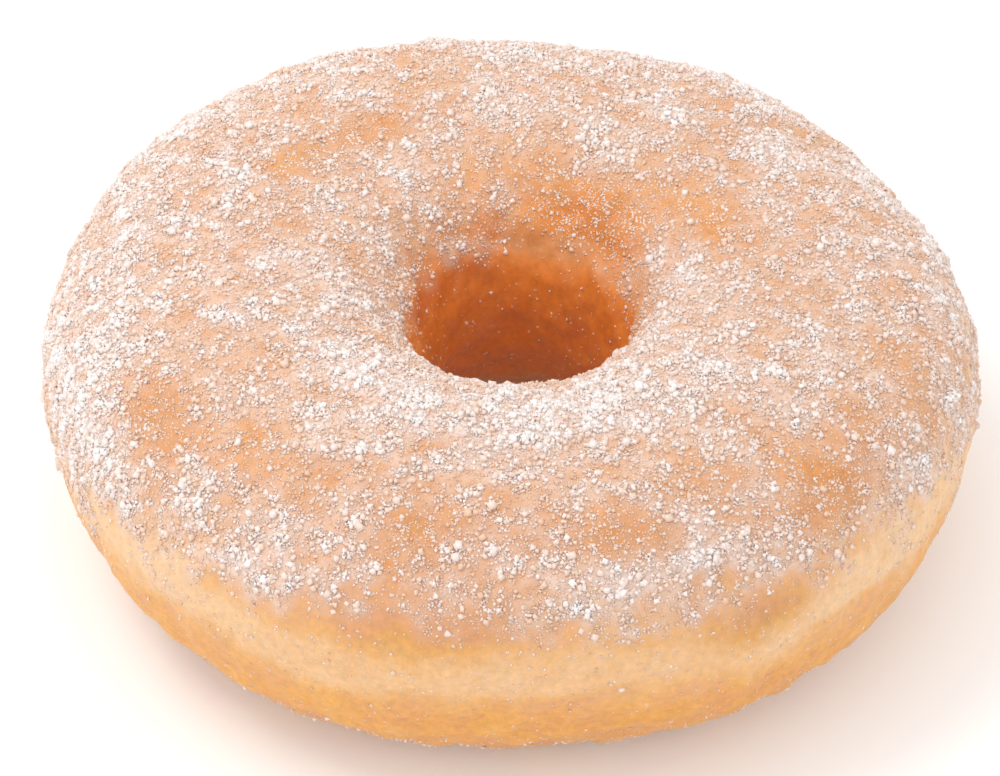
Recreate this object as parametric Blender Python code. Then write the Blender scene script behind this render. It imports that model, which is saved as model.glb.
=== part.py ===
"""A sugared ring doughnut as one closed solid, in metres, +Z up, resting on its flat foot at z = 0.

A rounded section is spun about Z into a perfect ring. Each point of that ring is then moved to where it
lies on the real, hand-cut doughnut: the rim and the hole are slightly out of round, the hole is a little
off centre, one side has risen higher than the other, and the crust is softly lumpy.
"""

import math

import bmesh
import bpy
import numpy as np

# Driving sizes of the whole ring.
OUTER_RADIUS = 0.0460
HOLE_RADIUS = 0.0097
HEIGHT = 0.0304
FOOT_SINK = 0.0005

# The section, as shares of the ring's width (0 at the hole, 1 at the rim) and of its height.
CROWN_SHARE = 0.44
FOOT_SHARE = 0.51
WAIST_SHARE = 0.56
THROAT_SHARE = 0.47

# Roundness of the section's four quarters: 2 is an ellipse, and more is squarer.
CROWN_OUTER = 2.3
CROWN_INNER = 2.8
BASE_INNER = 2.6
BASE_OUTER = 2.1

# Waves round the ring, each with its number of lobes, its swing as a share, and where it peaks in degrees.
RIM_WAVES = (
    (2, 0.0115, -42),
    (3, 0.0057, -14),
    (4, 0.0063, 47),
    (5, 0.0016, 2),
    (6, 0.0017, 4),
    (7, 0.0018, -8),
)
HOLE_WAVES = ((2, 0.0218, 65), (3, 0.0464, -2))
RISE_WAVES = ((1, 0.0298, 221), (2, 0.0069, -5))
HOLE_SHIFT = (0.0013, -0.0017)

# Soft lumps of the crust: each set has a wavelength and a height, and its waves run in seeded directions.
LUMP_SETS = ((0.0220, 0.00016), (0.0090, 0.00007))
LUMP_WAVES = 24
LUMP_SEED = 11

# Faceting of the solid.
STEPS_AROUND = 104
STEPS_SECTION = 44
OUTLINE_STEPS = 60
WELD = 0.00002

CRUST_COLOUR = (0.80, 0.53, 0.38, 1.0)
CRUST_ROUGHNESS = 0.75


def clear_scene():
    """Removes whatever the file holds, so that the script can be run again."""
    for thing in list(bpy.data.objects):
        bpy.data.objects.remove(thing)


def quarter(start, end, roundness):
    """One quarter of the section, from a point at its side to the crown or the foot, as (share out, share up)."""
    turn = np.linspace(0.0, math.pi / 2, OUTLINE_STEPS)
    across = end[0] + (start[0] - end[0]) * np.cos(turn) ** (2 / roundness)
    up = start[1] + (end[1] - start[1]) * np.sin(turn) ** (2 / roundness)
    return np.stack([across, up], axis=1)


def section_outline():
    """The closed section, once round from the rim over the crown, down the hole and along the foot."""
    rim, throat = (1.0, WAIST_SHARE), (0.0, THROAT_SHARE)
    crown, foot = (CROWN_SHARE, 1.0), (FOOT_SHARE, 0.0)
    return np.concatenate(
        [
            quarter(rim, crown, CROWN_OUTER),
            quarter(throat, crown, CROWN_INNER)[::-1],
            quarter(throat, foot, BASE_INNER),
            quarter(rim, foot, BASE_OUTER)[::-1],
        ]
    )


def evenly_spaced(outline, count):
    """Points at equal steps along a closed outline, measured at its real size."""
    size = np.array([OUTER_RADIUS - HOLE_RADIUS, HEIGHT])
    steps = np.linalg.norm(np.diff(outline * size, axis=0), axis=1)
    length = np.concatenate([[0.0], np.cumsum(steps)])
    places = np.linspace(0.0, length[-1], count + 1)[:-1]
    return np.stack([np.interp(places, length, outline[:, axis]) for axis in (0, 1)], axis=1)


def spun_ring(points):
    """The section drawn in the XZ plane, as radius and height shares, and spun once about Z."""
    mesh = bmesh.new()
    corners = [mesh.verts.new((1.0 + across, 0.0, up)) for across, up in points]
    edges = [mesh.edges.new((a, b)) for a, b in zip(corners, corners[1:] + corners[:1])]
    bmesh.ops.spin(
        mesh,
        geom=corners + edges,
        cent=(0, 0, 0),
        axis=(0, 0, 1),
        angle=2 * math.pi,
        steps=STEPS_AROUND,
        use_merge=True,
    )
    bmesh.ops.recalc_face_normals(mesh, faces=mesh.faces)
    return mesh


def wave(waves, azimuth):
    """1 plus the sum of the waves at an azimuth in radians."""
    return 1.0 + sum(
        swing * math.cos(lobes * (azimuth - math.radians(peak))) for lobes, swing, peak in waves
    )


def on_the_ring(share_out, share_up, azimuth):
    """The place on the real ring of a point that is given by its shares across and up the section."""
    rim = OUTER_RADIUS * wave(RIM_WAVES, azimuth)
    hole = HOLE_RADIUS * wave(HOLE_WAVES, azimuth)
    radius = hole + share_out * (rim - hole)
    height = (HEIGHT + FOOT_SINK) * wave(RISE_WAVES, azimuth)
    return (
        radius * math.cos(azimuth) + HOLE_SHIFT[0] * (1.0 - share_out),
        radius * math.sin(azimuth) + HOLE_SHIFT[1] * (1.0 - share_out),
        share_up * height,
    )


def lump_waves():
    """Every lump wave as (its direction and wave number, its phase, its height), from one seeded draw."""
    draw = np.random.default_rng(LUMP_SEED)
    waves = []
    for length, height in LUMP_SETS:
        ways = draw.normal(size=(LUMP_WAVES, 3))
        ways *= 2 * math.pi / length / np.linalg.norm(ways, axis=1, keepdims=True)
        phases = draw.uniform(0, 2 * math.pi, LUMP_WAVES)
        waves.append((ways, phases, height * math.sqrt(2 / LUMP_WAVES)))
    return waves


def lumps(places):
    """How far the crust stands out at each place: a sum of plane waves, so it is even in every direction."""
    return sum(
        height * np.cos(places @ ways.T + phases).sum(axis=1) for ways, phases, height in lump_waves()
    )


def knead(mesh):
    """Moves the perfect ring's points to the real ring, adds the lumps and flattens the foot at z = 0."""
    for point in mesh.verts:
        azimuth = math.atan2(point.co.y, point.co.x)
        share_out = math.hypot(point.co.x, point.co.y) - 1.0
        point.co = on_the_ring(share_out, point.co.z, azimuth)
    mesh.normal_update()
    places = np.array([tuple(point.co) for point in mesh.verts])
    for point, stand_out in zip(mesh.verts, lumps(places)):
        point.co += point.normal * float(stand_out)
        point.co.z = max(point.co.z - FOOT_SINK, 0.0)


def centre_over_origin(mesh):
    """Puts the middle of the ring's box over the origin, without lifting the foot."""
    places = np.array([tuple(point.co) for point in mesh.verts])
    middle = (places.min(axis=0) + places.max(axis=0)) / 2
    bmesh.ops.translate(mesh, verts=mesh.verts, vec=(-middle[0], -middle[1], 0.0))


def crust_material():
    """Fried dough under a coat of fine sugar."""
    material = bpy.data.materials.new("sugared_crust")
    material.use_nodes = True
    shader = material.node_tree.nodes["Principled BSDF"]
    shader.inputs["Base Color"].default_value = CRUST_COLOUR
    shader.inputs["Roughness"].default_value = CRUST_ROUGHNESS
    shader.inputs["Metallic"].default_value = 0.0
    return material


def make_doughnut():
    """The whole doughnut as one object."""
    ring = spun_ring(evenly_spaced(section_outline(), STEPS_SECTION))
    knead(ring)
    centre_over_origin(ring)
    bmesh.ops.remove_doubles(ring, verts=ring.verts, dist=WELD)
    bmesh.ops.triangulate(ring, faces=ring.faces)
    bmesh.ops.recalc_face_normals(ring, faces=ring.faces)
    data = bpy.data.meshes.new("doughnut")
    ring.to_mesh(data)
    ring.free()
    data.shade_smooth()
    data.materials.append(crust_material())
    doughnut = bpy.data.objects.new("doughnut", data)
    bpy.context.scene.collection.objects.link(doughnut)
    return doughnut


clear_scene()
make_doughnut()
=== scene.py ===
# %% [markdown]
# # A sugared ring doughnut
# The real thing is a ring of yeast dough. It is fried on one face, turned, fried on the other, and rolled
# in sugar while it is still warm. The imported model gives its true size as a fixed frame. This script
# dresses that frame: first the crust, worked out on a fine grid, and then about 180,000 separate sugar
# crystals, which are what the eye reads as "sugared".

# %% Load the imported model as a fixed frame
import math

import bpy
import numpy as np
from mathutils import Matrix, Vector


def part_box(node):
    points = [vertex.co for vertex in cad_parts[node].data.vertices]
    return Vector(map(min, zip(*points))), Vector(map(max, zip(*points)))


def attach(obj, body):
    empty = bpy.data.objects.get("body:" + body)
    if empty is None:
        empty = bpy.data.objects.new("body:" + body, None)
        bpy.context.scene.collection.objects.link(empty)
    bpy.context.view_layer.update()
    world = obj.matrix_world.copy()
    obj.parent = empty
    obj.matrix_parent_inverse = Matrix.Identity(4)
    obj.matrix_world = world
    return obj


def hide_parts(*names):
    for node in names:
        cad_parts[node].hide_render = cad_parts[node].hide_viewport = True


MM = 0.001
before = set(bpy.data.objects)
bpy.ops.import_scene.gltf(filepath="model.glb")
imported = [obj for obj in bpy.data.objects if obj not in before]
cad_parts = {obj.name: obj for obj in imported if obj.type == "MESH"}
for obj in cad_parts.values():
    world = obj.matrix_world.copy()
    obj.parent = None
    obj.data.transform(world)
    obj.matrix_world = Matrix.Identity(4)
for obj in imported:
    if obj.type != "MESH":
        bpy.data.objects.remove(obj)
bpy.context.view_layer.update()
ring_low, ring_high = (np.array(corner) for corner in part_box("doughnut"))
print("packed ring, mm:", np.round((ring_high - ring_low) / MM, 1))

# %% [markdown]
# ## The camera
# The photograph looks down on the doughnut at about 41 degrees through a long lens. A camera could be
# turned and moved until the picture looks right. Here it is placed from three measured facts instead: that
# angle, how many pixels a metre covers at the ring's middle, and the pixel where that middle lies. Sliding
# the camera sideways and down puts the middle there with no lens shift.

# %% Place the camera
PICTURE_SIZE = (1000, 776)
RING_MIDDLE_PIXEL = (509.9, 374.5)
PIXELS_PER_METRE = 10075
CAMERA_ELEVATION = math.radians(41.4)
CAMERA_DISTANCE = 0.500
SENSOR_WIDTH = 36.0
NEAREST_SEEN = 0.01
RING_MIDDLE = np.array([0.0, 0.0, 0.015])


def aim_camera():
    """The eye stands back along the line of sight, slid so that the middle lands on its pixel."""
    back = np.array([0.0, -math.cos(CAMERA_ELEVATION), math.sin(CAMERA_ELEVATION)])
    up = np.array([0.0, math.sin(CAMERA_ELEVATION), math.cos(CAMERA_ELEVATION)])
    slide_left = (RING_MIDDLE_PIXEL[0] - PICTURE_SIZE[0] / 2) / PIXELS_PER_METRE
    slide_down = (PICTURE_SIZE[1] / 2 - RING_MIDDLE_PIXEL[1]) / PIXELS_PER_METRE
    eye = RING_MIDDLE + back * CAMERA_DISTANCE - np.array([slide_left, 0, 0]) - up * slide_down
    data = bpy.data.cameras.new("camera")
    data.sensor_width = SENSOR_WIDTH
    data.lens = PIXELS_PER_METRE * CAMERA_DISTANCE / PICTURE_SIZE[0] * SENSOR_WIDTH
    data.clip_start = NEAREST_SEEN
    camera = bpy.data.objects.new("camera", data)
    camera.location = eye
    camera.rotation_euler = (math.pi / 2 - CAMERA_ELEVATION, 0, 0)
    bpy.context.scene.collection.objects.link(camera)
    bpy.context.scene.camera = camera
    return camera


camera = aim_camera()
print("lens, mm:", round(camera.data.lens, 1))

# %% [markdown]
# ## The ring's form
# The section of the ring is four quarter curves that meet at the rim, the crown, the throat and the foot.
# A modeller could draw it by eye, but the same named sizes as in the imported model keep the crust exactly
# where that model is. Every function here takes whole arrays, so a grid of 96,000 points costs one call.

# %% The named sizes of the ring
OUTER_RADIUS = 0.0460
HOLE_RADIUS = 0.0097
HEIGHT = 0.0304
FOOT_SINK = 0.0005
CROWN_SHARE, FOOT_SHARE = 0.44, 0.51
WAIST_SHARE, THROAT_SHARE = 0.56, 0.47
CROWN_OUTER, CROWN_INNER, BASE_INNER, BASE_OUTER = 2.3, 2.8, 2.6, 2.1
RIM_WAVES = (
    (2, 0.0115, -42),
    (3, 0.0057, -14),
    (4, 0.0063, 47),
    (5, 0.0016, 2),
    (6, 0.0017, 4),
    (7, 0.0018, -8),
)
HOLE_WAVES = ((2, 0.0218, 65), (3, 0.0464, -2))
RISE_WAVES = ((1, 0.0298, 221), (2, 0.0069, -5))
HOLE_SHIFT = (0.0013, -0.0017)
OUTLINE_STEPS = 60
STEPS_AROUND = 480
STEPS_SECTION = 200
SECTION_SIZE = np.array([OUTER_RADIUS - HOLE_RADIUS, HEIGHT])


# %% The section, evenly spaced
def quarter(start, end, roundness):
    """A quarter of a superellipse: cosine and sine of the turn, each raised to 2 over the roundness."""
    turn = np.linspace(0.0, math.pi / 2, OUTLINE_STEPS)
    across = end[0] + (start[0] - end[0]) * np.cos(turn) ** (2 / roundness)
    up = start[1] + (end[1] - start[1]) * np.sin(turn) ** (2 / roundness)
    return np.stack([across, up], axis=1)


def even_section(count):
    """The closed section from the rim over the crown, the hole and the foot, at equal steps of length."""
    rim, throat = (1.0, WAIST_SHARE), (0.0, THROAT_SHARE)
    crown, foot = (CROWN_SHARE, 1.0), (FOOT_SHARE, 0.0)
    outline = np.concatenate(
        [
            quarter(rim, crown, CROWN_OUTER),
            quarter(throat, crown, CROWN_INNER)[::-1],
            quarter(throat, foot, BASE_INNER),
            quarter(rim, foot, BASE_OUTER)[::-1],
        ]
    )
    steps = np.linalg.norm(np.diff(outline * SECTION_SIZE, axis=0), axis=1)
    length = np.concatenate([[0.0], np.cumsum(steps)])
    places = np.linspace(0.0, length[-1], count + 1)[:-1]
    return np.stack([np.interp(places, length, outline[:, axis]) for axis in (0, 1)], axis=1)


section = even_section(STEPS_SECTION)
print("section points:", len(section))


# %% The ring as a grid: azimuth by place along the section
def wave(waves, azimuth):
    """1 plus a cosine for each wave, with its lobes, its swing and the azimuth of its peak in degrees."""
    return 1.0 + sum(
        swing * np.cos(lobes * (azimuth - math.radians(peak))) for lobes, swing, peak in waves
    )


def ring_grid(section, azimuth):
    """Radius runs from the hole's wavy edge to the rim's by the share across; height is share by rise."""
    rim = OUTER_RADIUS * wave(RIM_WAVES, azimuth)[:, None]
    hole = HOLE_RADIUS * wave(HOLE_WAVES, azimuth)[:, None]
    across, up = section[None, :, 0], section[None, :, 1]
    radius = hole + across * (rim - hole)
    x = radius * np.cos(azimuth)[:, None] + HOLE_SHIFT[0] * (1 - across)
    y = radius * np.sin(azimuth)[:, None] + HOLE_SHIFT[1] * (1 - across)
    z = up * (HEIGHT + FOOT_SINK) * wave(RISE_WAVES, azimuth)[:, None]
    return np.stack([x, y, z], axis=2)


def outward(grid):
    """The unit normal: the step round the ring crossed with the step along the section."""
    around = np.roll(grid, -1, axis=0) - np.roll(grid, 1, axis=0)
    along = np.roll(grid, -1, axis=1) - np.roll(grid, 1, axis=1)
    normal = np.cross(around, along)
    return normal / np.linalg.norm(normal, axis=2, keepdims=True)


azimuths = np.linspace(-math.pi, math.pi, STEPS_AROUND + 1)[:-1]
smooth_ring = ring_grid(section, azimuths)
smooth_normals = outward(smooth_ring)
print("grid:", smooth_ring.shape)

# %% [markdown]
# ## The crust's relief
# A fried crust is never smooth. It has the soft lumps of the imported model, fine leathery wrinkles, small
# blisters where steam lifted it, and shallow dents from the tongs and the tray. A noise texture could fake
# that in the shader, but the crystals have to stand on it, so it is real height here: sums of plane waves
# that run in seeded directions look even from every side, and round spots make the blisters and dents.

# %% Lumps and wrinkles as sums of plane waves
LUMP_SETS = ((0.0220, 0.00016), (0.0090, 0.00007))
WAVES_IN_A_SET = 24
LUMP_SEED = 11
WRINKLE_SETS = ((0.0042, 0.00011), (0.0020, 0.00005))
WRINKLE_SEED = 5


def plane_waves(places, sets, seed):
    """The sum over sets of height times the cosines of (place along a random direction plus a phase)."""
    draw = np.random.default_rng(seed)
    flat = places.reshape(-1, 3)
    total = np.zeros(len(flat))
    for length, height in sets:
        ways = draw.normal(size=(WAVES_IN_A_SET, 3))
        ways *= 2 * math.pi / length / np.linalg.norm(ways, axis=1, keepdims=True)
        phases = draw.uniform(0, 2 * math.pi, WAVES_IN_A_SET)
        total += height * math.sqrt(2 / WAVES_IN_A_SET) * np.cos(flat @ ways.T + phases).sum(axis=1)
    return total.reshape(places.shape[:-1])


lump_height = plane_waves(smooth_ring, LUMP_SETS, LUMP_SEED)
wrinkle_height = plane_waves(smooth_ring, WRINKLE_SETS, WRINKLE_SEED)
print("lumps, mm:", np.round(lump_height.std() / MM, 3))
print("wrinkles, mm:", np.round(wrinkle_height.std() / MM, 3))

# %% Blisters and dents as round spots
BLISTERS = 90
BLISTER_RADIUS = (0.0008, 0.0024)
BLISTER_HEIGHT = (0.00008, 0.00030)
DENTS = 14
DENT_RADIUS = (0.0030, 0.0060)
DENT_DEPTH = (0.00015, 0.00040)
SPOT_SEED = 23


def round_spots(places, count, radius_range, height_range, draw):
    """The sum of bell curves, each round a random grid point, with a random radius and height."""
    flat = places.reshape(-1, 3)
    centres = flat[draw.choice(len(flat), count, replace=False)]
    radius = draw.uniform(*radius_range, count)
    height = draw.uniform(*height_range, count)
    total = np.zeros(len(flat))
    for centre, r, h in zip(centres, radius, height):
        total += h * np.exp(-((flat - centre) ** 2).sum(axis=1) / r**2)
    return total.reshape(places.shape[:-1])


spot_draw = np.random.default_rng(SPOT_SEED)
blister_height = round_spots(smooth_ring, BLISTERS, BLISTER_RADIUS, BLISTER_HEIGHT, spot_draw)
dent_depth = round_spots(smooth_ring, DENTS, DENT_RADIUS, DENT_DEPTH, spot_draw)
print("highest blister, mm:", round(blister_height.max() / MM, 2))
print("deepest dent, mm:", round(dent_depth.max() / MM, 2))

# %% Where each point lies: azimuth, radius, height and slope
# The slope is 0 degrees where the crust faces up, 90 at the rim, -90 in the throat and 180 under the foot.
leaning_out = (
    smooth_normals[..., 0] * np.cos(azimuths)[:, None] + smooth_normals[..., 1] * np.sin(azimuths)[:, None]
)
slopes = np.degrees(np.arctan2(leaning_out, smooth_normals[..., 2]))
degrees = np.degrees(azimuths)[:, None]
radii = np.hypot(smooth_ring[..., 0], smooth_ring[..., 1])
heights = smooth_ring[..., 2] / HEIGHT
print("slopes, degrees:", slopes.min().round(), "to", slopes.max().round())

# %% [markdown]
# ## Where the sugar lies
# Sugar sticks thickly to the crown and thins out over the shoulder, down the side and in the hole. The
# photograph also shows places where it was rubbed thin or lies thick. An artist would paint a mask for
# this. Here the mask is worked out: one number for each grid point, the cover, is the share of the crust
# that sugar hides there, from 0, bare, to 1, white. It drives everything later: the film of dust in the
# crust's colour, how many crystals land there, and how white they look.

# %% How far each point lies from the crown line, along the section
def turned(angle, middle):
    """An azimuth difference brought between -180 and 180 degrees."""
    return (angle - middle + 180) % 360 - 180


def smooth_step(value, low, high):
    """0 below low, 1 above high, and a smooth S between them."""
    t = np.clip((value - low) / (high - low), 0, 1)
    return t * t * (3 - 2 * t)


def millimetres_from_crown():
    """The length along the section from its crown: above 0 out to the widest line, below 0 the other way."""
    steps = np.linalg.norm((np.roll(section, -1, axis=0) - section) * SECTION_SIZE, axis=1)
    length = np.cumsum(steps) - steps
    crown = section[:, 1].argmax()
    return (length[crown] - length)[None, :] / MM + 0 * degrees


from_crown = millimetres_from_crown()
print("from the crown, mm:", from_crown.min().round(1), "to", from_crown.max().round(1))

# %% The slope at which the sugar ends, outside and inside, each as (azimuth, slope) in degrees
OUTER_EDGE = (
    (-180, 110),
    (-155, 88),
    (-140, 76),
    (-122, 64),
    (-104, 53),
    (-90, 64),
    (-78, 68),
    (-62, 56),
    (-48, 62),
    (-36, 70),
    (-15, 84),
    (20, 104),
    (90, 116),
)
INNER_EDGE = (
    (-180, 61),
    (-90, 66),
    (0, 68),
    (30, 62),
    (48, 50),
    (70, 50),
    (90, 56),
    (110, 58),
    (150, 57),
)
OUTER_SOFTNESS = 16.0
INNER_SOFTNESS = 10.0
EDGE_WOBBLE = 5.0
INNER_WOBBLE = 0.6
WOBBLE_SETS = ((0.0075, 1.0), (0.0030, 0.8))
WOBBLE_SEED = 24

# %% How the cover falls from the crown to the side, the throat and the base
SIDE_COVER, THROAT_COVER, BASE_COVER = 0.055, 0.030, 0.20
UNDER_RIM = (92, 108)
UNDER_RIM_LOSS = 0.65
BASE_SLOPES = (115, 145)


def edge_cover():
    """The cover without sugar's coat, by slope, and the coat's share: 1 on the crown, 0 past its edge."""
    wobble = EDGE_WOBBLE * plane_waves(smooth_ring, WOBBLE_SETS, WOBBLE_SEED)
    azimuth, edge = np.array(OUTER_EDGE, float).T
    outer_edge = np.interp(degrees, azimuth, edge, period=360) + wobble
    azimuth, edge = np.array(INNER_EDGE, float).T
    inner_edge = np.interp(degrees, azimuth, edge, period=360) + INNER_WOBBLE * wobble
    on_outside = 1 - smooth_step(slopes, outer_edge - OUTER_SOFTNESS, outer_edge + OUTER_SOFTNESS)
    on_inside = 1 - smooth_step(-slopes, inner_edge - INNER_SOFTNESS, inner_edge + INNER_SOFTNESS)
    below = smooth_step(np.abs(slopes), *BASE_SLOPES)
    side = SIDE_COVER * (1 - UNDER_RIM_LOSS * smooth_step(slopes, *UNDER_RIM))
    bare = np.where(slopes > 0, side, THROAT_COVER) * (1 - below) + BASE_COVER * below
    return bare, np.where(slopes > 0, on_outside, on_inside)


bare_cover, sugared = edge_cover()
print("sugared share of the ring:", sugared.mean().round(2))

# %% Places of thin and thick sugar: azimuth, mm from the crown, reach round and across in mm, change
SUGAR_PATCHES = {
    "thin_left": (-147, 13.5, 6.8, 4.0, -0.42),
    "thin_left_inner": (-130, 11.0, 5.0, 3.5, -0.18),
    "thin_front_left": (-100, 11.5, 8.5, 4.0, -0.22),
    "thin_front_streak": (-75, 12.5, 6.0, 2.4, -0.28),
    "thin_front": (-62, 8.0, 6.0, 2.6, -0.18),
    "thin_right_front": (-44, 16.0, 6.5, 3.2, -0.38),
    "thin_right_front_inner": (-42, 11.0, 7.0, 3.0, -0.22),
    "thin_right": (-22, 15.0, 6.0, 4.0, -0.20),
    "thin_right_edge": (-8, 14.0, 9.0, 5.0, -0.12),
    "thin_right_back": (24, -4.5, 8.0, 4.5, -0.24),
    "thin_behind_right": (30, -5.0, 6.0, 3.0, -0.28),
    "gold_behind_right": (57, -12.0, 4.8, 3.4, -0.70),
    "tan_behind": (76, -9.0, 10.0, 4.0, -0.26),
    "gold_behind": (88, -13.5, 6.5, 2.8, -0.18),
    "thin_behind_left": (100, -9.0, 5.0, 2.4, -0.14),
    "thin_lip_back": (100, -14.5, 13.0, 2.6, -0.14),
    "thin_lip_left": (150, -15.0, 6.0, 2.2, -0.12),
    "thin_lip_right": (32, -14.0, 4.0, 2.2, -0.12),
    "thin_streak_left": (138, 0.8, 7.0, 1.8, -0.36),
    "thin_streak_back": (124, -0.5, 4.0, 2.0, -0.30),
    "thin_back_rim": (107, 9.5, 2.6, 4.5, -0.28),
    "thick_front_of_hole": (-88, -3.0, 26.0, 5.5, 0.34),
    "thick_left_shoulder": (-166, 20.0, 14.0, 7.0, 0.30),
    "thick_front_left_shoulder": (-119, 19.5, 8.0, 1.8, 0.26),
    "thick_front_shoulder": (-68, 17.0, 7.0, 1.5, 0.24),
    "thick_back_rim": (85, 17.0, 30.0, 5.0, 0.22),
    "thick_left_back": (158, 14.0, 20.0, 7.0, 0.16),
    "thick_right_rim": (10, 18.0, 18.0, 4.0, 0.16),
    "thick_back": (90, 1.0, 6.0, 3.5, 0.14),
}


def patches(named):
    """The sum of bell curves, in millimetres round the ring and across it, cut off at the widest line."""
    change = np.zeros(radii.shape)
    for azimuth, place, reach_round, reach_across, strength in named.values():
        round_it = np.radians(turned(degrees, azimuth)) * radii / MM / reach_round
        across_it = (from_crown - place) / reach_across
        change += strength * np.exp(-(round_it**2) - across_it**2)
    return change


# %% The cover of the whole ring
CROWN_COVER = 0.48
MOST_COVER = 0.93
MOTTLE_SETS = ((0.0085, 0.055), (0.0036, 0.050), (0.0016, 0.05))
MOTTLE_SEED = 25
BARE_MOTTLE = 3
GRAIN_FILL = 0.46
SIDE_DUST = 0.14
SIDE_STARTS = (40, 70)
CROWN_SLOPE = 30

mottle = plane_waves(smooth_ring, MOTTLE_SETS, MOTTLE_SEED)
coat = (CROWN_COVER - bare_cover + patches(SUGAR_PATCHES) + mottle) * sugared
cover = np.clip(bare_cover * (1 + BARE_MOTTLE * mottle) + coat, 0, MOST_COVER)
grain_cover = 1 - (1 - cover) * (1 - GRAIN_FILL * sugared)
side_dust = SIDE_DUST * smooth_step(slopes, *SIDE_STARTS) * (1 - smooth_step(slopes, *UNDER_RIM))
print("cover on the crown:", cover[np.abs(slopes) < CROWN_SLOPE].mean().round(2))

# %% [markdown]
# ## How brown the crust is
# Both faces of the dough lay in hot fat and went golden brown. The dough floats, so a band round the rim
# never went under and stays pale. The throat is the darkest, because hot fat wells up through the hole.
# A picture of real crust could be laid over the ring, but it would carry its own light and stretch at the
# sides. One worked-out number, the toast, picks the colour instead, by slope and height.

# %% Toast: 0 for pale dough, 1 for the darkest crust
PALE_BAND_HEIGHT, PALE_BAND_REACH = 0.615, 0.105
PALE_BAND_SLOPES = (45, 70)
TOP_ENDS = (35, 75)
THROAT_STARTS = (58, 73)
BASE_STARTS = (105, 150)
PALE_BAND_TOAST, TOP_TOAST, SIDE_TOAST, THROAT_TOAST, BASE_TOAST = 0.095, 0.57, 0.38, 0.82, 0.41
WANDER_SETS, WANDER_SEED = ((0.0160, 0.018), (0.0060, 0.012)), 26
TOAST_MOTTLE_SETS, TOAST_MOTTLE_SEED = ((0.0120, 0.035), (0.0050, 0.026)), 27
CALM = 0.6


def toast_level():
    """A blend by slope of the side's, the top's, the throat's and the base's toast, less the pale band."""
    wander = plane_waves(smooth_ring, WANDER_SETS, WANDER_SEED)
    toast = np.where(slopes > 0, SIDE_TOAST, THROAT_TOAST) + 0 * slopes
    top_outside = 1 - smooth_step(slopes, *TOP_ENDS)
    top_inside = 1 - smooth_step(-slopes, *THROAT_STARTS)
    on_top = np.where(slopes > 0, top_outside, top_inside)
    on_base = smooth_step(np.abs(slopes), *BASE_STARTS)
    toast = toast + (TOP_TOAST - toast) * on_top
    toast = toast + (BASE_TOAST - toast) * on_base
    from_band = (heights + wander - PALE_BAND_HEIGHT) / PALE_BAND_REACH
    band = np.exp(-(from_band**4)) * smooth_step(slopes, *PALE_BAND_SLOPES)
    toast = toast + (PALE_BAND_TOAST - toast) * band
    uneven = plane_waves(smooth_ring, TOAST_MOTTLE_SETS, TOAST_MOTTLE_SEED)
    return np.clip(toast + uneven * (1 - CALM * np.where(slopes > 0, band, 1 - on_top)), 0, 1)


# %% Places fried darker or paler or painted with shade, and brown places that the sugar's film doesn't whiten
TOAST_AND_SHADE_PATCHES = {
    "gold_front": (-100, 22.6, 9.0, 3.0, 0.26),
    "gold_right": (-58, 24.2, 6.8, 2.6, 0.30),
    "gold_behind_hole": (57, -12.0, 4.4, 3.0, 0.16),
    "tan_behind_hole": (88, -14.2, 8.0, 3.0, 0.16),
    # The hole's left wall: deeper fried crust, and painted shade where the right-hand softboxes light it.
    "toast_and_painted_shade_left_wall": (156, -17.0, 8.0, 2.6, 0.24),
    "pale_left_side": (-142, 27.0, 10.0, 6.0, -0.22),
    "pale_right_side": (-40, 27.5, 11.0, 6.0, -0.30),
}
BROWN_AND_SHADE_PATCHES = {
    # The left patch, under the key softbox: browner crust, and painted shade that darkens it.
    "brown_and_painted_shade_left": (-147, 13.5, 6.8, 4.0, 0.20),
    "brown_front": (-76, 13.0, 6.0, 2.6, 0.14),
    "brown_front_left": (-99, 12.0, 8.0, 3.8, 0.14),
    "brown_right": (-44, 16.0, 6.5, 3.2, 0.18),
    "brown_streak": (134, 0.5, 9.0, 2.2, 0.10),
    "brown_side_right": (-58, 23.8, 6.5, 2.6, 0.24),
    "brown_side_front": (-100, 22.2, 8.0, 2.6, 0.14),
    "brown_behind": (57, -11.6, 4.4, 3.2, 0.28),
}
DUST_KEPT_OFF_GOLD = 3

toast_and_shade_change = patches(TOAST_AND_SHADE_PATCHES)
brown = np.clip(patches(BROWN_AND_SHADE_PATCHES), 0, 1)
toast = np.clip(toast_level() + toast_and_shade_change, 0, 1)
dust = np.clip(cover + side_dust * np.clip(1 - DUST_KEPT_OFF_GOLD * toast_and_shade_change, 0, 1), 0, 1)
print("toast:", toast.min().round(2), "to", toast.max().round(2))

# %% [markdown]
# ## The crust as a mesh
# The ring's grid could be a torus with a displacement modifier, but arrays are quicker and exact. The grid
# closes on itself both ways, so every quad has its four neighbours by a roll of the index array. The
# doughnut rests on its sugar, so the crust's flat foot stops a quarter of a millimetre above the floor.

# %% Put the relief on the grid and flatten the foot
FOOT_CLEARANCE = 0.00025
SUGAR_DEPTH = 0.00010


def crust_grid():
    """The smooth ring moved out along its normals by all the relief, clamped at the foot and centred."""
    stand_out = lump_height + wrinkle_height + blister_height - dent_depth - SUGAR_DEPTH
    grid = smooth_ring + smooth_normals * stand_out[..., None]
    grid[..., 2] = np.maximum(grid[..., 2] - FOOT_SINK, FOOT_CLEARANCE)
    middle = (grid.reshape(-1, 3).min(axis=0) + grid.reshape(-1, 3).max(axis=0)) / 2
    grid[..., :2] += (ring_low[:2] + ring_high[:2]) / 2 - middle[:2]
    return grid


crust_places = crust_grid()
crust_normals = outward(crust_places)
crust_size = np.ptp(crust_places.reshape(-1, 3), axis=0)
print("crust, mm:", np.round(crust_size / MM, 1))


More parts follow.
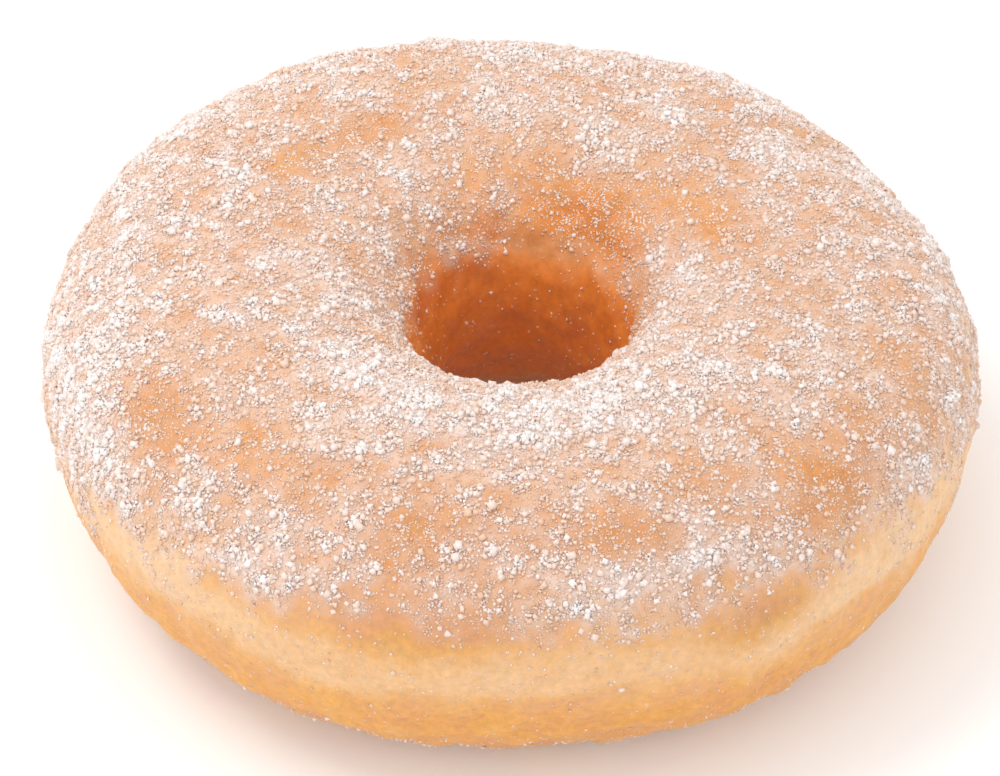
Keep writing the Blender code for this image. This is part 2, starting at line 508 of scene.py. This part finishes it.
# %% A mesh from arrays of points and faces
def mesh_piece(name, points, faces, materials, face_material=None):
    """A new object at the origin from an array of places and an array of corner numbers."""
    sides = faces.shape[1]
    data = bpy.data.meshes.new(name)
    data.vertices.add(len(points))
    data.vertices.foreach_set("co", np.ascontiguousarray(points, np.float32).ravel())
    data.loops.add(faces.size)
    data.loops.foreach_set("vertex_index", faces.astype(np.int32).ravel())
    data.polygons.add(len(faces))
    data.polygons.foreach_set("loop_start", np.arange(0, faces.size, sides, dtype=np.int32))
    for material in materials:
        data.materials.append(material)
    if face_material is not None:
        data.polygons.foreach_set("material_index", face_material.astype(np.int32))
    data.update(calc_edges=True)
    data.validate()
    piece = bpy.data.objects.new(name, data)
    bpy.context.scene.collection.objects.link(piece)
    return piece


def wrapped_quads(around, along):
    """Quads of a grid that closes both ways: a point, the one beside it, the diagonal, the one along."""
    index = np.arange(around * along).reshape(around, along)
    beside = np.roll(index, -1, axis=0)
    corners = [index, beside, np.roll(beside, -1, axis=1), np.roll(index, -1, axis=1)]
    return np.stack(corners, axis=2).reshape(-1, 4)


def add_numbers(piece, name, values):
    """One number for each point, which a material can read as an attribute."""
    layer = piece.data.attributes.new(name, "FLOAT", "POINT")
    layer.data.foreach_set("value", values.astype(np.float32).ravel())


# %% [markdown]
# ## The crust's finish
# The fried colour runs through a ramp from cream to umber by the toast number, broken up by noise. Over it
# lies sugar too fine to model: a film that grows with the cover, and small cells that are each dusted or
# bare. All sugar could be painted like this, but up close it would look flat, so the film only fills in
# between the crystals. A little light goes into dough and comes out nearby, so there is some subsurface.

# %% Helpers for node materials
def new_material(name):
    """An empty node material with its Principled shader, ready to be wired."""
    material = bpy.data.materials.new(name)
    material.use_nodes = True
    return material, material.node_tree, material.node_tree.nodes["Principled BSDF"]


def add_node(tree, kind, inputs=None, **settings):
    """A node with its settings; an input is a plain value, or a socket of another node to link from."""
    node = tree.nodes.new(kind)
    for key, value in settings.items():
        setattr(node, key, value)
    for key, value in (inputs or {}).items():
        if isinstance(value, bpy.types.NodeSocket):
            tree.links.new(value, node.inputs[key])
        else:
            node.inputs[key].default_value = value
    return node


def maths(tree, operation, a, b, clamp=False):
    """A Math node's result, kept between 0 and 1 if clamp is set."""
    return add_node(tree, "ShaderNodeMath", {0: a, 1: b}, operation=operation, use_clamp=clamp).outputs[0]


def noise(tree, where, scale, detail, roughness):
    """A Noise node's value, which is 0.5 on average."""
    inputs = {"Vector": where, "Scale": scale, "Detail": detail, "Roughness": roughness}
    return add_node(tree, "ShaderNodeTexNoise", inputs).outputs["Fac"]


def between(tree, value, low, high):
    """A Map Range node: 0 becomes low and 1 becomes high."""
    inputs = {"Value": value, "To Min": low, "To Max": high}
    return add_node(tree, "ShaderNodeMapRange", inputs).outputs[0]


def number_of(tree, name):
    """A number of the mesh's points, read by its attribute's name."""
    return add_node(tree, "ShaderNodeAttribute", attribute_name=name).outputs["Fac"]


# %% Helpers for colours in node materials
def ramp(tree, factor, stops):
    """A colour ramp through (place, colour) stops."""
    node = add_node(tree, "ShaderNodeValToRGB", {"Fac": factor})
    elements = node.color_ramp.elements
    while len(elements) < len(stops):
        elements.new(0.5)
    for element, (place, colour) in zip(elements, stops):
        element.position = place
        element.color = (*colour, 1.0)
    return node.outputs["Color"]


def blend(tree, share, first, second):
    """The first colour where share is 0, the second where it is 1; a Mix node's colours are 6, 7 and 2."""
    return add_node(tree, "ShaderNodeMix", {0: share, 6: first, 7: second}, data_type="RGBA").outputs[2]


def scaled(tree, colour, factor):
    """A colour times a number."""
    inputs = {0: colour, "Scale": factor}
    return add_node(tree, "ShaderNodeVectorMath", inputs, operation="SCALE").outputs[0]


# %% The fried colour
CREAM = (0.82, 0.52, 0.25)
GOLDEN = (0.76, 0.36, 0.062)
TAN = (0.69, 0.30, 0.096)
DEEP_TAN = (0.67, 0.265, 0.072)
AMBER = (0.76, 0.235, 0.028)
UMBER = (0.58, 0.135, 0.016)
TOAST_RAMP = ((0.0, CREAM), (0.32, GOLDEN), (0.50, TAN), (0.66, DEEP_TAN), (0.80, AMBER), (1.0, UMBER))
# Each noise has its scale, its detail and its roughness.
STAIN_NOISE, STAIN_SWING = (420, 5, 0.6), 0.20
PORE_NOISE, PORE_SWING = (1100, 3, 0.6), 0.18
BLOTCH_NOISE, BLOTCH_SHADES = (1200, 4, 0.7), (0.64, 1.36)
EVEN_AT_TOAST = 1.04
BROWN_DARKENS = 0.6


def fried_colour(tree, where, pores):
    """The ramp at toast plus noise times (1.04 - toast), shaded by blotches and darkened where brown."""
    toast_here = number_of(tree, "toast")
    stained = between(tree, noise(tree, where, *STAIN_NOISE), -STAIN_SWING, STAIN_SWING)
    speckled = between(tree, pores, -PORE_SWING, PORE_SWING)
    uneven = maths(tree, "ADD", stained, speckled)
    evener = maths(tree, "MULTIPLY", uneven, maths(tree, "SUBTRACT", EVEN_AT_TOAST, toast_here))
    toasted = ramp(tree, maths(tree, "ADD", toast_here, evener, clamp=True), TOAST_RAMP)
    shade = between(tree, noise(tree, where, *BLOTCH_NOISE), *BLOTCH_SHADES)
    darker = maths(tree, "MULTIPLY", number_of(tree, "brown"), BROWN_DARKENS)
    return scaled(tree, toasted, maths(tree, "MULTIPLY", shade, maths(tree, "SUBTRACT", 1.0, darker)))


# %% The film of sugar dust
THIN_DUST = (0.73, 0.50, 0.38)
THICK_DUST = (0.86, 0.725, 0.665)
BROWN_DUST = (0.72, 0.405, 0.28)
DUST_RAMP = ((0.30, THIN_DUST), (0.90, THICK_DUST))
FILM_FALL = 1.5
CELL_SCALE, CELL_SHARE = 2900, 0.70
CELL_EDGE, CELL_MOST = 0.25, 0.20
BROWN_BLEND = 3.0


def dust_film(tree, where):
    """Its share: dusted cells plus 1 less (1 - dust) raised to 1.5. Its colour: the ramp at the dust."""
    dust_here = number_of(tree, "dust")
    grid = {"Vector": where, "Scale": CELL_SCALE, "Randomness": 1.0}
    cells = add_node(tree, "ShaderNodeTexVoronoi", grid)
    one_cell = add_node(tree, "ShaderNodeSeparateColor", {"Color": cells.outputs["Color"]}).outputs[0]
    enough = maths(tree, "SUBTRACT", maths(tree, "MULTIPLY", dust_here, CELL_SHARE), one_cell)
    cell_inputs = {"Value": enough, "From Max": CELL_EDGE, "To Max": CELL_MOST}
    dusted = add_node(tree, "ShaderNodeMapRange", cell_inputs).outputs[0]
    bare = maths(tree, "POWER", maths(tree, "SUBTRACT", 1.0, dust_here), FILM_FALL)
    share = maths(tree, "SUBTRACT", maths(tree, "ADD", dusted, 1.0), bare, clamp=True)
    browned = maths(tree, "MULTIPLY", number_of(tree, "brown"), BROWN_BLEND, clamp=True)
    return share, blend(tree, browned, ramp(tree, dust_here, DUST_RAMP), (*BROWN_DUST, 1.0))


# %% The crust material
PORE_RELIEF, FILM_RELIEF = 0.6, 0.7
BUMP_STRENGTH, BUMP_DEPTH = 0.6, 0.00012
GREASY, DUSTY = 0.46, 0.75
LIGHT_GOES_IN = 0.18
LIGHT_REACH = (1.0, 0.42, 0.16)
LIGHT_DEPTH = 0.0016


def crust_material():
    """The film over the fried colour; pores and film raise the surface, and the film makes it rougher."""
    material, tree, shader = new_material("sugar_dusted_crust")
    where = add_node(tree, "ShaderNodeTexCoord").outputs["Object"]
    pores = noise(tree, where, *PORE_NOISE)
    share, film = dust_film(tree, where)
    colour = blend(tree, share, fried_colour(tree, where, pores), film)
    tree.links.new(colour, shader.inputs["Base Color"])
    pored = maths(tree, "MULTIPLY", pores, PORE_RELIEF)
    height = maths(tree, "ADD", pored, maths(tree, "MULTIPLY", share, FILM_RELIEF))
    bump_inputs = {"Height": height, "Strength": BUMP_STRENGTH, "Distance": BUMP_DEPTH}
    tree.links.new(add_node(tree, "ShaderNodeBump", bump_inputs).outputs["Normal"], shader.inputs["Normal"])
    tree.links.new(between(tree, share, GREASY, DUSTY), shader.inputs["Roughness"])
    shader.inputs["Subsurface Weight"].default_value = LIGHT_GOES_IN
    shader.inputs["Subsurface Radius"].default_value = LIGHT_REACH
    shader.inputs["Subsurface Scale"].default_value = LIGHT_DEPTH
    return material


# %% A flat map of the crust for baking: azimuth across it, the section up it
BAKE_MAP = "OFBake"
QUAD_CORNERS = np.array([[0, 0], [1, 0], [1, 1], [0, 1]])


def add_flat_map(piece, around, along):
    """Each quad of the grid becomes one rectangle of the map, so the map has no gaps and no overlaps."""
    column, row = np.meshgrid(np.arange(around), np.arange(along), indexing="ij")
    step = np.stack([column, row], axis=2).reshape(-1, 1, 2)
    flat = (step + QUAD_CORNERS) / np.array([around, along])
    layer = piece.data.uv_layers.new(name=BAKE_MAP)
    layer.data.foreach_set("uv", flat.astype(np.float32).ravel())


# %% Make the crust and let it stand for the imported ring
crust_quads = wrapped_quads(STEPS_AROUND, STEPS_SECTION)
crust = mesh_piece("crust", crust_places.reshape(-1, 3), crust_quads, [crust_material()])
crust.data.shade_smooth()
add_numbers(crust, "toast", toast)
add_numbers(crust, "dust", dust)
add_numbers(crust, "brown", brown)
add_flat_map(crust, STEPS_AROUND, STEPS_SECTION)
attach(crust, "root")
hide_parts("doughnut")
print("crust faces:", len(crust.data.polygons))

# %% [markdown]
# ## Sugar crystals
# Granulated sugar is oblong blocks, wedges and broken bits of about a third of a millimetre. Particles or
# instances would scatter them quickly, but an exported model loses those, so each kind of crystal is one
# mesh with every crystal in it at true size. One small shape is copied by numpy to tens of thousands of
# places, each copy with its own size, corners, turn and tilt. Most crystals have only four corners: at
# this size the eye sees a glint and a shadow, not a shape, and few faces leave room for more crystals.

# %% Pick places on the crust by area and cover
LEAST_COVER = 0.02


def scatter(count, liking, draw):
    """Quads are drawn by area times crystals needed, and the place in a quad by two random shares.

    Crystals that fall at random leave a share exp(-n) of the crust bare, so n = -log(1 - grain cover).
    The cover raised to the kind's liking keeps large crystals to thick sugar; fine ones spread out.
    """
    corner = crust_places
    beside = np.roll(corner, -1, axis=0)
    along = np.roll(corner, -1, axis=1)
    area = np.linalg.norm(np.cross(beside - corner, along - corner), axis=2)
    chance = (area * -np.log(1 - grain_cover) * np.maximum(cover, LEAST_COVER) ** liking).ravel()
    picked = draw.choice(chance.size, count, p=chance / chance.sum())
    a, s = np.unravel_index(picked, area.shape)
    share_a, share_s = draw.uniform(size=(2, count, 1))
    places = corner[a, s] + (beside - corner)[a, s] * share_a + (along - corner)[a, s] * share_s
    return places, crust_normals[a, s], cover[a, s]


# %% Turn crystals to lie on the surface
NEARLY_UPRIGHT = 0.9
UP, SIDEWAYS = [[0.0, 0.0, 1.0]], [[1.0, 0.0, 0.0]]


def about_z(angle):
    """Rotation matrices about Z."""
    c, s, o, i = np.cos(angle), np.sin(angle), np.zeros_like(angle), np.ones_like(angle)
    return np.stack([np.stack([c, -s, o], 1), np.stack([s, c, o], 1), np.stack([o, o, i], 1)], 1)


def about_x(angle):
    """Rotation matrices about X."""
    c, s, o, i = np.cos(angle), np.sin(angle), np.zeros_like(angle), np.ones_like(angle)
    return np.stack([np.stack([i, o, o], 1), np.stack([o, c, -s], 1), np.stack([o, s, c], 1)], 1)


def lying_turns(normals, tilt, draw):
    """Rotation matrices: a random spin, a random tilt off the surface, then the surface's own frame."""
    count = len(normals)
    spin, way = draw.uniform(0, 2 * math.pi, (2, count))
    lean = draw.normal(0, tilt, count)
    helper = np.where(np.abs(normals[:, 2:]) < NEARLY_UPRIGHT, UP, SIDEWAYS)
    side = np.cross(helper, normals)
    side /= np.linalg.norm(side, axis=1, keepdims=True)
    base = np.stack([side, np.cross(normals, side), normals], axis=2)
    return base @ about_z(way) @ about_x(lean) @ about_z(spin)


# %% The small shapes that are copied: corners and faces
SQUARE = ((-0.5, -0.5), (0.5, -0.5), (0.5, 0.5), (-0.5, 0.5))
BLOCK = (
    np.array([[x, y, z] for z in (-0.5, 0.5) for x, y in SQUARE]),
    np.array([[3, 2, 1, 0], [4, 5, 6, 7], [0, 1, 5, 4], [1, 2, 6, 5], [2, 3, 7, 6], [3, 0, 4, 7]]),
)
WEDGE = (
    np.array(
        [
            [-0.5, -0.5, -0.5],
            [0.5, -0.5, -0.5],
            [0.0, 0.5, -0.5],
            [-0.4, -0.4, 0.5],
            [0.4, -0.5, 0.5],
            [0.1, 0.3, 0.5],
        ]
    ),
    np.array([[2, 1, 0], [3, 4, 5], [0, 1, 4], [0, 4, 3], [1, 2, 5], [1, 5, 4], [2, 0, 3], [2, 3, 5]]),
)
CHIP = (
    np.array([[0.5, 0, 0], [0, 0.5, 0], [-0.5, 0, 0], [0, -0.5, 0], [0, 0, 0.5], [0, 0, -0.5]]),
    np.array([[0, 1, 4], [1, 2, 4], [2, 3, 4], [3, 0, 4], [1, 0, 5], [2, 1, 5], [3, 2, 5], [0, 3, 5]]),
)
FOUR_SIDES = np.array([[2, 1, 0], [0, 1, 3], [1, 2, 3], [2, 0, 3]])
SPLINTER = (
    np.array([[0.7, -0.3, -0.3], [-0.5, -0.4, -0.3], [0.0, 0.6, -0.3], [-0.1, 0.0, 0.6]]),
    FOUR_SIDES,
)
FLAKE = (
    np.array([[0.6, -0.5, -0.15], [-0.6, -0.4, -0.15], [0.1, 0.7, -0.15], [0.0, -0.1, 0.3]]),
    FOUR_SIDES,
)
SPECK = (
    np.array([[0.5, -0.4, -0.2], [-0.5, -0.5, -0.2], [-0.1, 0.5, -0.2], [-0.1, -0.1, 0.4]]),
    FOUR_SIDES,
)

# %% [markdown]
# ## The crystals' finish
# A real crystal is clear, and a heap of them is white because light is turned many times in it. Clear
# crystals would need long renders and come out as wet glass, so each one here is an opaque plain tone with
# sugar's own gloss. The heap's look then comes from the choice of tone: thin sugar takes the gold of the
# crust below, thick sugar is white, clumps vary it, and a few crystals catch the light.

# %% Sugar tones: name, colour, roughness, and the lightness up to which it is picked
SUGAR_TONES = (
    ("sugar_golden", (0.825, 0.55, 0.38), 0.34, 0.22),
    ("sugar_peach", (0.84, 0.62, 0.49), 0.34, 0.44),
    ("sugar_warm", (0.88, 0.70, 0.605), 0.38, 0.66),
    ("sugar_white", (0.915, 0.795, 0.74), 0.42, 0.96),
    ("sugar_bright", (0.955, 0.90, 0.875), 0.15, math.inf),
)
SUGAR_IOR = 1.54


def sugar_material(name, colour, roughness):
    """Dense white crystal: little colour, a clear gloss and sugar's own index of refraction."""
    material, tree, shader = new_material(name)
    shader.inputs["Base Color"].default_value = (*colour, 1.0)
    shader.inputs["Roughness"].default_value = roughness
    shader.inputs["IOR"].default_value = SUGAR_IOR
    return material


sugar_materials = [sugar_material(*tone[:3]) for tone in SUGAR_TONES]
tone_limits = np.array([tone[3] for tone in SUGAR_TONES])
print("sugar tones:", [material.name for material in sugar_materials])

# %% How a crystal's tone is picked
TONE_SPREAD = 0.14
CLUMP_TONE = 0.16
LONE_COVER = (0.05, 0.30)
# Lone crystals get a lighter tone: painted light for what a clear grain passes to its shaded side.
LONE_PAINTED_LIGHT = 0.30


def pick_tones(local_cover, clump, draw):
    """Lightness is the cover, plus painted light for lone crystals, plus clump and chance; the limits sort
    it.
    """
    lone = LONE_PAINTED_LIGHT * (1 - smooth_step(local_cover, *LONE_COVER))
    lightness = local_cover + lone + CLUMP_TONE * clump + draw.normal(0, TONE_SPREAD, len(local_cover))
    return np.searchsorted(tone_limits, lightness)


# %% One kind of crystal, copied over the crust
CLUMP_SETS = ((0.0042, 0.5), (0.0022, 0.6), (0.0011, 0.6))
CLUMP_SEED = 31
CLUMP_SIZE, SIZE_CLUMPS = 0.14, (-2, 1.5)
CLUMP_LIFT, LIFT_CLUMPS = 0.00007, (-1, 1.5)
CORNER_JITTER = 0.13
SIZE_SPREAD = 0.20
WIDTH_SHARES, THICKNESS_SHARES = (0.66, 1.0), (0.5, 0.9)


def crystals(name, shape, count, size, tilt, lift, liking, seed):
    """Corner places are the shape's own, jittered, scaled, turned, and moved to a place a little out."""
    draw = np.random.default_rng(seed)
    places, normals, local_cover = scatter(count, liking, draw)
    corners, faces = shape
    jittered = corners[None] + draw.uniform(-CORNER_JITTER, CORNER_JITTER, (count, *corners.shape))
    clump = plane_waves(places, CLUMP_SETS, CLUMP_SEED)
    larger = CLUMP_SIZE * np.clip(clump, *SIZE_CLUMPS)[:, None]
    length = np.exp(draw.normal(math.log(size), SIZE_SPREAD, (count, 1)) + larger)
    width, thickness = draw.uniform(*WIDTH_SHARES, count), draw.uniform(*THICKNESS_SHARES, count)
    sized = jittered * (length * np.stack([np.ones(count), width, thickness], 1))[:, None, :]
    turned_corners = np.einsum("nij,nkj->nki", lying_turns(normals, tilt, draw), sized)
    out = lift[0] * size + draw.uniform(0, 1, count) * lift[1] * size * local_cover
    out += CLUMP_LIFT * np.clip(clump, *LIFT_CLUMPS) * local_cover
    points = turned_corners + (places + normals * out[:, None])[:, None, :]
    points[..., 2] = np.maximum(points[..., 2], ring_low[2])
    numbers = (faces[None] + (np.arange(count) * len(corners))[:, None, None]).reshape(-1, faces.shape[1])
    tones = np.repeat(pick_tones(local_cover, clump, draw), len(faces))
    piece = mesh_piece(name, points.reshape(-1, 3), numbers, sugar_materials, tones)
    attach(piece, "root")
    print(name, count, "crystals")


# %% The crystals of each kind: shape, how many, size, tilt, lift and liking for thick sugar
CRYSTAL_KINDS = {
    "sugar_blocks": (BLOCK, 12500, 0.00039, 0.50, (0.02, 0.45), 1.0),
    "sugar_wedges": (WEDGE, 20000, 0.00035, 0.55, (0.02, 0.42), 0.6),
    "sugar_chips": (CHIP, 24900, 0.00032, 0.65, (0.00, 0.42), 0.3),
    "sugar_splinters": (SPLINTER, 49900, 0.00030, 0.70, (0.00, 0.45), 0.0),
    "sugar_flakes": (FLAKE, 49900, 0.00028, 0.45, (0.00, 0.42), -0.3),
    "sugar_specks": (SPECK, 22500, 0.00024, 0.45, (0.00, 0.42), -0.5),
}
FIRST_CRYSTAL_SEED = 100

for seed, (name, kind) in enumerate(CRYSTAL_KINDS.items(), FIRST_CRYSTAL_SEED):
    crystals(name, *kind, seed=seed)

# %% [markdown]
# ## Floor and light
# The photograph is a cut-out on white under very soft light. A studio could be built with walls and many
# lamps. A pale floor, a bright even sky and three softboxes give the same look: one above the left, a
# strong one on the right and a low one beside it. The floor throws light back up under the ring.

# %% The floor
FLOOR_HALF = 2.0
FLOOR_COLOUR = (0.90, 0.90, 0.90, 1.0)
FLOOR_ROUGHNESS = 0.9
WHITE = (1.0, 1.0, 1.0, 1.0)
FLOOR_GLOW = 0.08


def make_floor():
    """A large pale square at the height that the ring rests on."""
    corners = FLOOR_HALF * np.array([[-1, -1, 0], [1, -1, 0], [1, 1, 0], [-1, 1, 0]])
    material, tree, shader = new_material("floor")
    shader.inputs["Base Color"].default_value = FLOOR_COLOUR
    shader.inputs["Roughness"].default_value = FLOOR_ROUGHNESS
    shader.inputs["Emission Color"].default_value = WHITE
    shader.inputs["Emission Strength"].default_value = FLOOR_GLOW
    return mesh_piece("floor", corners + [0, 0, ring_low[2]], np.array([[0, 1, 2, 3]]), [material])


floor = make_floor()
print("floor, m:", 2 * FLOOR_HALF, "across")

# %% Sky and softboxes: each softbox with its place, its size and its power
SKY_STRENGTH = 1.08
SOFTBOXES = {
    "key": ((-0.42, 0.10, 0.75), 0.45, 3.8),
    "fill": ((0.78, -0.20, 0.42), 0.5, 20.5),
    "side": ((0.85, 0.10, 0.20), 0.4, 8.0),
}


def make_softbox(name, place, size, power):
    """A square area light that faces the origin."""
    data = bpy.data.lights.new(name, "AREA")
    data.size = size
    data.energy = power
    light = bpy.data.objects.new(name, data)
    light.location = place
    look = -np.array(place) / np.linalg.norm(place)
    light.rotation_euler = (math.acos(-look[2]), 0, math.atan2(look[0], -look[1]))
    bpy.context.scene.collection.objects.link(light)


def make_sky():
    """An even white surround."""
    world = bpy.data.worlds.new("sky")
    world.use_nodes = True
    background = world.node_tree.nodes["Background"]
    background.inputs["Color"].default_value = WHITE
    background.inputs["Strength"].default_value = SKY_STRENGTH
    bpy.context.scene.world = world


make_sky()
for name, softbox in SOFTBOXES.items():
    make_softbox(name, *softbox)
bpy.context.scene.view_settings.view_transform = "Standard"
bpy.context.scene.view_settings.look = "None"
print("softboxes:", len(SOFTBOXES))
